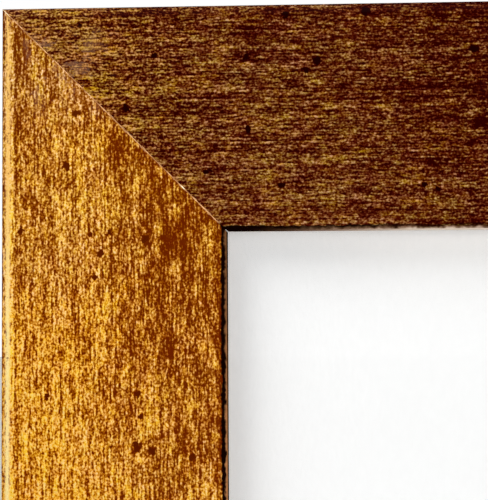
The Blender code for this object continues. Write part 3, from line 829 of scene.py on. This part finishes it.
def add_surface(context, name, surface, material, body, slot, replaced=()):
    """Makes a piece from points and faces, and hangs it on a body of the frame."""
    points, faces = surface
    mesh = bpy.data.meshes.new(name)
    mesh.from_pydata(points, [], turned_outwards(points, faces))
    mesh.shade_smooth()
    mesh.set_sharp_from_angle(angle=math.radians(40))
    mesh.materials.append(material)
    piece = bpy.data.objects.new(name, mesh)
    context.scene.collection.objects.link(piece)
    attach(piece, body)
    if replaced:
        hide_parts(*replaced)


def arc(centre, radius, start, stop, steps):
    """Points on an arc in a plane, between two angles in degrees."""
    angles = np.radians(np.linspace(start, stop, steps + 1))
    return joined(centre[0] + radius * np.cos(angles), centre[1] + radius * np.sin(angles))


def waver(stations, step, seed):
    """Smooth random values between about -1 and 1 along a line, one for each station."""
    draws = np.random.default_rng(seed)
    knots = draws.uniform(-1, 1, max(4, round(stations / step)))
    return np.interp(np.linspace(0, len(knots) - 1, stations), np.arange(len(knots)), knots)


def seam_surface(side, level, seam, seed):
    """A thin web of filler that closes a mitre, carried round the outside of the moulding.

    The path lies in the mitre's plane: from the sight edge over the bevel and the flat, round the quarter
    circle (R - R sin t, R - R cos t), then down the outer side. The section is a narrow strip across the
    joint with a flat top and two walls that reach inwards along the path's normal. Where the strip would
    stand out past the moulding's two outer sides, it is cut off flush with them.
    """
    radius, front_gap, back_gap = OUTER_ROUND, 0.0002, 0.0006
    flat = np.linspace(FACE_WIDTH - front_gap, radius, 260)
    turn = np.linspace(0, math.pi / 2, 14)[1:]
    fall = np.linspace(radius, BACK_Y - FRONT_Y - back_gap, 40)[1:]
    bevel = np.clip(flat - (FACE_WIDTH - SIGHT_BEVEL), 0, None)
    across = np.concatenate([flat, radius - radius * np.sin(turn), np.zeros_like(fall)])
    depth = np.concatenate([bevel, radius - radius * np.cos(turn), fall])
    inward = np.concatenate([np.zeros_like(flat), turn, np.full_like(fall, math.pi / 2)])
    half = seam.thickness / 2 * (0.99 + 0.01 * waver(len(across), 4, seed))
    sink = (seam.recess * (1 + 0.6 * waver(len(across), 5, seed + 1)))[:, None]
    width = np.array([-1, -1, -0.55, 0, 0.55, 1, 1, 0])
    walls = np.array([1, 0, 0, 0, 0, 0, 1, 1])
    below = seam.reach * walls + sink
    sideways = half[:, None] * width * SLANT
    across = across[:, None] + below * np.sin(inward)[:, None]
    depth = FRONT_Y + depth[:, None] + below * np.cos(inward)[:, None]
    x = side * np.minimum(OUTER_X - across + sideways, OUTER_X - sink)
    z = CENTRE_Z + level * np.minimum(TOP_Z - CENTRE_Z - across - sideways, TOP_Z - CENTRE_Z - sink)
    return closed_tube(joined(x, depth, z))


def ring_surface(place, parts):
    """A round wire carried once round a D: two small corners, a wide half circle and a straight bar on X.

    A point of the surface is the route's point plus the wire's radius times (cos f) along the route's own
    normal and (sin f) along Y.
    """
    wide, side, corner = parts.ring_wide, parts.ring_side, parts.ring_corner
    route = np.concatenate([
        arc((wide - corner, corner), corner, -90, 0, 12),
        arc((0, side), wide, 0, 180, 90),
        arc((corner - wide, corner), corner, 180, 270, 12),
        joined(np.linspace(corner - wide, wide - corner, 14)[1:-1], 0.0)])
    ahead = np.roll(route, -1, axis=0) - np.roll(route, 1, axis=0)
    ahead /= np.linalg.norm(ahead, axis=1)[:, None]
    turn = np.linspace(0, 2 * math.pi, 32, endpoint=False)
    out, up = parts.wire * np.cos(turn), parts.wire * np.sin(turn)
    x = route[:, None, 0] + ahead[:, None, 1] * out
    z = route[:, None, 1] - ahead[:, None, 0] * out
    points = joined(x, up, z).reshape(-1, 3) + place
    return points, grid_faces(*x.shape, close_rows=True, close_columns=True).tolist()


def strap_surface(place, parts):
    """A sheet folded about the ring's bar: a section carried up one leaf, round the eye and down the other.

    Each leaf narrows to a round foot, where the half width is R cos u at a drop of R sin u below the foot's
    centre. The eye is an arc about the bar, and a smaller arc bends back from it into the upper leaf. The
    section is a rectangle with round corners, across the strap and along the path's normal.
    """
    eye, leaf, bend, wide = parts.eye, parts.leaf, parts.bend, parts.strap_wide
    arris = 0.0002
    foot = np.radians(np.linspace(87, 0, 24))
    foot_z = wide - parts.strap_length - wide * np.sin(foot)
    neck = math.sqrt((eye + bend) ** 2 - (bend - leaf) ** 2)
    lean = math.degrees(math.asin((bend - leaf) / (eye + bend)))
    loop = arc((0, 0), eye, 180, lean - 90, 72)
    back = arc((bend - leaf, -neck), bend, 90 + lean, 180, 14)
    path = np.concatenate([joined(-eye, foot_z), loop, back[1:], joined(-leaf, foot_z[::-1])])
    narrowing = wide * np.cos(foot)
    half = np.concatenate([narrowing, np.full(len(loop) + len(back) - 1, wide), narrowing[::-1]])
    ahead = np.gradient(path, axis=0)
    ahead /= np.linalg.norm(ahead, axis=1)[:, None]
    round_off = np.minimum(arris, half)[:, None]
    turn = (np.linspace(0, math.pi / 2, 4)[None, :] + np.arange(4)[:, None] * math.pi / 2).ravel()
    sign_x = np.repeat([1, -1, -1, 1], 4)
    sign_n = np.repeat([1, 1, -1, -1], 4)
    x = sign_x * (half[:, None] - round_off) + round_off * np.cos(turn)
    rise = sign_n * (parts.sheet / 2 - round_off) + round_off * np.sin(turn)
    y = path[:, None, 0] + rise * ahead[:, None, 1]
    z = path[:, None, 1] - rise * ahead[:, None, 0]
    return closed_tube(joined(x, y, z) + place)


def button_turns(wide, tip, reach):
    """Angles at the pivot of a tapered tab: of its flank's normal, and of where its flank and tip meet."""
    normal = math.acos((wide - tip) / reach)
    return normal, math.atan2(tip * math.sin(normal), reach + tip * math.cos(normal))


def button_radius(angle, wide, tip, reach):
    """Distance from the pivot to the outline of a tapered tab, at angles from the direction of its tip.

    It is r at the wide end, r / cos(t - n) on a flank whose normal is at n, and d cos t plus the root of
    s s - d d sin t sin t on the tip, whose radius is s and whose middle is at d.
    """
    angle = np.abs((angle + math.pi) % (2 * math.pi) - math.pi)
    normal, touch = button_turns(wide, tip, reach)
    flank = wide / np.cos(np.clip(angle, touch, normal) - normal)
    near = np.minimum(angle, touch)
    end = reach * np.cos(near) + np.sqrt(np.maximum(tip ** 2 - (reach * np.sin(near)) ** 2, 0))
    return np.where(angle < touch, end, np.where(angle < normal, flank, wide))


def button_surface(pivot, heading, low, high, parts):
    """A flat tab on a polar grid about its screw hole: hole, upper face, rounded edge and lower face.

    Each row is at a share of the way from the hole to the outline, or on the outline set in by the part
    (1 - cos t) of the edge's radius, at a height that is lower by (1 - sin t) of it.
    """
    wide, tip, reach, edge = parts.button_wide, parts.button_tip, parts.button_reach, parts.button_edge
    normal, touch = button_turns(wide, tip, reach)
    half_turn = np.concatenate([np.linspace(0, touch, 13)[:-1], np.linspace(touch, normal, 13)[:-1],
                                np.linspace(normal, math.pi, 19)])
    angle = np.concatenate([half_turn, -half_turn[1:-1][::-1]])
    hole = np.full_like(angle, parts.hole)
    inner = button_radius(angle, wide - edge, tip - edge, reach)
    ease = 0.00008
    rows = [(hole + ease, low), (hole, low + ease), (hole, high - ease), (hole + ease, high)]
    rows += [(hole + (inner - hole) * way, high) for way in (0.3, 0.65)]
    quarter = np.radians(np.linspace(90, 0, 5))
    for turns, face, inwards in ((quarter, high, -edge), (quarter[::-1], low, edge)):
        for turn in turns:
            inset = edge * (1 - math.cos(turn))
            outline = button_radius(angle, wide - inset, tip - inset, reach)
            rows.append((outline, face + inwards * (1 - math.sin(turn))))
    rows += [(hole + (inner - hole) * way, low) for way in (0.65, 0.3)]
    radius = np.stack([row[0] for row in rows])
    y = np.array([row[1] for row in rows])[:, None]
    x = pivot.x + radius * np.cos(angle + heading)
    z = pivot.z + radius * np.sin(angle + heading)
    faces = grid_faces(*radius.shape, close_rows=True, close_columns=True)
    return joined(x, y, z).reshape(-1, 3), faces.tolist()


def screw_surface(axis, seat, turn, parts):
    """A pan-head screw along Y: a square grid pressed into a disc, then rows round the rim, shank and thread.

    A grid point (a, b) of the head lies at (a sqrt(1 - b b / 2), b sqrt(1 - a a / 2)) of the head's radius.
    Its height follows a flattened dome, less the recess: the deeper of two crossed troughs with sloping
    walls and ends. The thread's radius rises from core to crest and back once in each pitch, along a helix.
    """
    arm_wide, arm_wall, arm_long, arm_end = 0.132, 0.032, 0.53, 0.13
    neck, thread_start, thread_fade, point = 0.0030, 0.0026, 0.0008, 0.0030
    steps = np.array([0, 0.05, 0.10, arm_wide, 0.20, 0.30, 0.40, arm_long, 0.68, 0.82, 0.92, 0.975, 1.0])
    lines = np.concatenate([-steps[:0:-1], steps])
    a, b = np.meshgrid(lines, lines, indexing="ij")
    u, v = a * np.sqrt(1 - b * b / 2), b * np.sqrt(1 - a * a / 2)
    dome = np.clip(1 - np.hypot(u, v) ** 2.8, 0, 1) ** (1 / 2.3)

    def trough(along, across):
        wall = np.clip((arm_wide - np.abs(across)) / arm_wall, 0, 1)
        end = np.clip((arm_long - np.abs(along)) / arm_end, 0, 1)
        return wall * end * (1 - 0.9 * np.abs(along))

    height = parts.head_rim + (parts.head_height - parts.head_rim) * dome
    height -= parts.recess * np.maximum(trough(a, b), trough(b, a))
    count = len(lines)
    index = np.arange(count * count).reshape(count, count)
    border = np.concatenate([index[0, :-1], index[:-1, -1], index[-1, :0:-1], index[:0:-1, 0]])
    around = np.arctan2(v.ravel()[border], u.ravel()[border])
    drop = np.arange(0.0004, parts.screw_length, parts.pitch / 6)
    taper = np.clip((parts.screw_length - drop) / point, 0.14, 1)
    phase = (drop[:, None] / parts.pitch + around[None, :] / (2 * math.pi)) % 1
    fading = np.clip((drop - thread_start) / thread_fade, 0, 1)
    ridge = np.clip(1 - np.abs(2 * phase - 1) / 0.55, 0, 1) * fading[:, None]
    thread = parts.crest - parts.core
    core = np.where(drop < neck, parts.crest - thread * np.clip(drop / neck - 0.7, 0, 1) / 0.3, parts.core)
    shank = (core[:, None] + thread * ridge) * taper[:, None]
    ease = 0.0001
    collar = np.array([(parts.head, ease), (parts.head - ease, 0.0), (parts.crest + 0.00008, 0.0),
                       (parts.crest, -ease)])
    radius = np.concatenate([np.repeat(collar[:, :1], len(border), axis=1), shank])
    level = np.concatenate([collar[:, 1], -drop])
    rows = joined(radius * np.cos(around), radius * np.sin(around), level[:, None])
    head = joined(parts.head * u, parts.head * v, height).reshape(-1, 3)
    tip = np.array([[0.0, 0.0, -parts.screw_length]])
    local = np.concatenate([head, rows.reshape(-1, 3), tip])
    following = np.roll(border, -1)
    first = len(head)
    ring = first + np.arange(len(border))
    faces = grid_faces(count, count).tolist()
    faces += joined(following, border, ring, np.roll(ring, -1)).tolist()
    faces += (first + grid_faces(len(rows), len(border), close_columns=True))[:, ::-1].tolist()
    faces += fan(first + (len(rows) - 1) * len(border) + np.arange(len(border)), len(local) - 1).tolist()
    x = axis.x + local[:, 0] * math.cos(turn) - local[:, 1] * math.sin(turn)
    z = axis.z + local[:, 0] * math.sin(turn) + local[:, 1] * math.cos(turn)
    return joined(x, seat + local[:, 2], z), faces


def bumper_surface(low, high):
    """A rubber pad turned about Y: a drawn-in foot, a straight wall, a round shoulder and a shallow top."""
    radius, height = (high.x - low.x) / 2, high.y - low.y
    shoulder, dish = 0.0012, 0.0001
    side = [(radius - 0.0003, 0.0), (radius - 0.00005, 0.0003), (radius, 0.0007), (radius, height - shoulder)]
    crown = arc((radius - shoulder, height - shoulder), shoulder, 0, 90, 10)[1:].tolist()
    top = [(radius - 1.5 * shoulder, height), (radius * 0.45, height - 0.6 * dish),
           (radius * 0.2, height - dish)]
    profile = np.array(side + crown + top)
    turn = np.linspace(0, 2 * math.pi, 64, endpoint=False)
    x = (low.x + high.x) / 2 + profile[:, :1] * np.cos(turn)
    z = (low.z + high.z) / 2 + profile[:, :1] * np.sin(turn)
    return closed_tube(joined(x, low.y + profile[:, 1:], z))


# Operators


class FRAME_OT_rails(bpy.types.Operator):
    """Gives the four rails their gilt film, black sight edge and bare wood"""

    bl_idname = "poster_frame.rails"
    bl_label = "Finish the Rails"

    def execute(self, context):
        for name in RAILS:
            dress(name, gilt_material(name, context.scene.frame_moulding, context.scene.frame_seam))
        return {"FINISHED"}


class FRAME_OT_seams(bpy.types.Operator):
    """Fills the four mitres with a thin line of pale filler"""

    bl_idname = "poster_frame.seams"
    bl_label = "Fill the Mitres"

    def execute(self, context):
        seam = context.scene.frame_seam
        material = seam_material(context.scene.frame_moulding, seam)
        corners = {"top_left": (-1, 1), "top_right": (1, 1), "bottom_right": (1, -1), "bottom_left": (-1, -1)}
        first_seed, seed_step = 40, 7
        for number, (corner, (side, level)) in enumerate(corners.items()):
            surface = seam_surface(side, level, seam, first_seed + seed_step * number)
            add_surface(context, f"mitre_filler_{corner}", surface, material, "frame", "gilt_mahogany")
        return {"FINISHED"}


class FRAME_OT_sheets(bpy.types.Operator):
    """Gives the acrylic, card, foam board and hardboard their materials"""

    bl_idname = "poster_frame.sheets"
    bl_label = "Finish the Sheets"

    def execute(self, context):
        sheets = context.scene.frame_sheets
        dress("glazing", acrylic_material())
        dress("poster_insert", card_material(sheets))
        dress("foam_board", foam_material(sheets))
        dress("backing_board", hardboard_material(sheets))
        return {"FINISHED"}


class FRAME_OT_buttons(bpy.types.Operator):
    """Makes the ten turn buttons that hold the backing in"""

    bl_idname = "poster_frame.buttons"
    bl_label = "Make the Turn Buttons"

    def execute(self, context):
        parts = context.scene.frame_hardware
        zinc = metal_material("zinc_plate", parts.zinc, parts.zinc_dark, roughness=0.34)
        for number in range(1, BUTTON_COUNT + 1):
            name = f"turn_button_{number}"
            low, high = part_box(name)
            pivot = middle(f"button_screw_{number}")
            towards = middle(name) - pivot
            surface = button_surface(pivot, math.atan2(towards.z, towards.x), low.y, high.y, parts)
            add_surface(context, f"{name}_plate", surface, zinc, f"button_{number}", "zinc_steel", (name,))
        return {"FINISHED"}


class FRAME_OT_screws(bpy.types.Operator):
    """Makes the screws of the turn buttons and of the ring hangers"""

    bl_idname = "poster_frame.screws"
    bl_label = "Make the Screws"

    def execute(self, context):
        parts = context.scene.frame_hardware
        steel = metal_material("bright_steel", parts.steel, parts.steel_dark, roughness=0.3)
        brass = metal_material("brass_screw", parts.brass, parts.brass_dark, roughness=0.26)
        draws = np.random.default_rng(5)
        for name in sorted(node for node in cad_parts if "_screw_" in node):
            finish, slot = (brass, "brassed_steel") if "hanger" in name else (steel, "bright_steel")
            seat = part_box(name)[0].y + parts.screw_length
            surface = screw_surface(middle(name), seat, draws.uniform(0, math.pi / 2), parts)
            add_surface(context, f"{name}_cut", surface, finish, "frame", slot, (name,))
        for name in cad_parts:
            if name.startswith("v_nail"):
                dress(name, steel)
        return {"FINISHED"}


class FRAME_OT_hangers(bpy.types.Operator):
    """Makes the two folded straps and their D-shaped rings"""

    bl_idname = "poster_frame.hangers"
    bl_label = "Make the Hangers"

    def execute(self, context):
        parts = context.scene.frame_hardware
        brass = metal_material("brass_plate", parts.brass, parts.brass_dark, roughness=0.28)
        for side in ("left", "right"):
            ring = f"{side}_hanger_ring"
            low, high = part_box(ring)
            place = np.array([(low.x + high.x) / 2, (low.y + high.y) / 2, low.z + parts.wire])
            add_surface(context, f"{ring}_wire", ring_surface(place, parts), brass, f"{side}_ring",
                        "brassed_steel", (ring,))
            strap = f"{side}_hanger_strap"
            add_surface(context, f"{strap}_folded", strap_surface(place, parts), brass, "frame",
                        "brassed_steel", (strap,))
        return {"FINISHED"}


class FRAME_OT_bumpers(bpy.types.Operator):
    """Makes the two rubber bumpers"""

    bl_idname = "poster_frame.bumpers"
    bl_label = "Make the Bumpers"

    def execute(self, context):
        rubber = rubber_material(context.scene.frame_hardware)
        for side in ("left", "right"):
            node = f"{side}_bumper"
            add_surface(context, f"{node}_pad", bumper_surface(*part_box(node)), rubber, "frame",
                        "black_rubber", (node,))
        return {"FINISHED"}


class FRAME_OT_stage(bpy.types.Operator):
    """Sets the floor, the lamps, the white surroundings and the camera"""

    bl_idname = "poster_frame.stage"
    bl_label = "Set the Stage"

    def execute(self, context):
        scene = context.scene
        stage = scene.frame_stage
        scene.view_settings.view_transform = "Standard"
        set_surroundings(scene, stage)
        add_floor(scene, stage)
        for name, (towards, width) in LAMPS.items():
            add_sun(scene, name, towards, getattr(stage, name.split("_")[0]), width)
        add_camera(scene, stage)
        return {"FINISHED"}


def set_surroundings(scene, stage):
    """White for the camera, reflections and clear sheets, and a soft grey light for everything else."""
    world = bpy.data.worlds.new("surroundings")
    world.use_nodes = True
    scene.world = world
    paint = Paint(world.node_tree)
    rays = paint.add("ShaderNodeLightPath")
    seen = paint.larger(paint.take(rays, "Is Camera Ray"), paint.take(rays, "Is Glossy Ray"))
    seen = paint.larger(seen, paint.take(rays, "Is Transmission Ray"))
    background = world.node_tree.nodes["Background"]
    background.inputs["Color"].default_value = (1.0, 1.0, 1.0, 1.0)
    paint.feed(background.inputs["Strength"], stage.ambient + (1 - stage.ambient) * seen)


def add_floor(scene, stage):
    """A pale floor just below the frame, with a faint unevenness."""
    half, lines, gap = 40.0, 25, 0.0005
    mesh = bpy.data.meshes.new("floor")
    across = np.linspace(-half, half, lines)
    x, y = np.meshgrid(across, across, indexing="ij")
    points = joined(x, y, BOTTOM_Z - gap).reshape(-1, 3)
    mesh.from_pydata(points, [], grid_faces(lines, lines)[:, ::-1].tolist())
    material, paint = new_material("pale_floor", Specular_IOR_Level=0.2)
    tone = paint.marks(3, 2)
    paint.set(Base_Color=paint.scale_colour(stage.floor, 0.995 + 0.004 * tone),
              Roughness=0.8 + 0.02 * tone)
    mesh.materials.append(material)
    floor = bpy.data.objects.new("floor", mesh)
    floor.visible_shadow = False
    scene.collection.objects.link(floor)


def add_sun(scene, name, towards, strength, width):
    """A soft lamp far away in a direction, as many degrees wide as width."""
    light = bpy.data.lights.new(name, "SUN")
    light.energy = strength
    light.angle = math.radians(width)
    lamp = bpy.data.objects.new(name, light)
    lamp.rotation_euler = Vector(towards).to_track_quat("Z", "Y").to_euler()
    lamp.visible_glossy = False
    scene.collection.objects.link(lamp)


def add_camera(scene, stage):
    """The camera of the photograph: close to the upper left corner, turned a little left and up."""
    corner = Vector((-OUTER_X, FRONT_Y, TOP_Z))
    tilt, pan, roll = (math.radians(turn) for turn in CAMERA_TURNS)
    ahead = Vector((-math.sin(pan) * math.cos(tilt), math.cos(pan) * math.cos(tilt), math.sin(tilt)))
    right = Vector((math.cos(pan), math.sin(pan), 0))
    up = right.cross(ahead)
    turned_right = right * math.cos(roll) + up * math.sin(roll)
    turned_up = up * math.cos(roll) - right * math.sin(roll)
    data = bpy.data.cameras.new("camera")
    data.lens = stage.lens
    data.clip_start = 0.01
    camera = bpy.data.objects.new("camera", data)
    camera.matrix_world = (Matrix.Translation(corner + Vector(CAMERA_OFFSET))
                           @ Matrix((turned_right, turned_up, -ahead)).transposed().to_4x4())
    scene.collection.objects.link(camera)
    scene.camera = camera


OPERATORS = (FRAME_OT_rails, FRAME_OT_seams, FRAME_OT_sheets, FRAME_OT_buttons, FRAME_OT_screws,
             FRAME_OT_hangers, FRAME_OT_bumpers, FRAME_OT_stage)


class FRAME_PT_panel(bpy.types.Panel):
    """The steps of the finish, in order"""

    bl_idname = "FRAME_PT_panel"
    bl_label = "Poster Frame"
    bl_space_type = "VIEW_3D"
    bl_region_type = "UI"
    bl_category = "Poster Frame"

    def draw(self, context):
        for operator in OPERATORS:
            self.layout.operator(operator.bl_idname)


GROUPS = {"frame_moulding": MouldingSettings, "frame_seam": SeamSettings,
          "frame_sheets": SheetSettings, "frame_hardware": HardwareSettings, "frame_stage": StageSettings}


def register():
    for kind in (*GROUPS.values(), *OPERATORS, FRAME_PT_panel):
        bpy.utils.register_class(kind)
    for name, kind in GROUPS.items():
        setattr(bpy.types.Scene, name, bpy.props.PointerProperty(type=kind))


def unregister():
    for name in GROUPS:
        delattr(bpy.types.Scene, name)
    for kind in reversed((*GROUPS.values(), *OPERATORS, FRAME_PT_panel)):
        bpy.utils.unregister_class(kind)


def main():
    register()
    for operator in OPERATORS:
        group, step = operator.bl_idname.split(".")
        getattr(getattr(bpy.ops, group), step)()


if __name__ == "__main__":
    main()
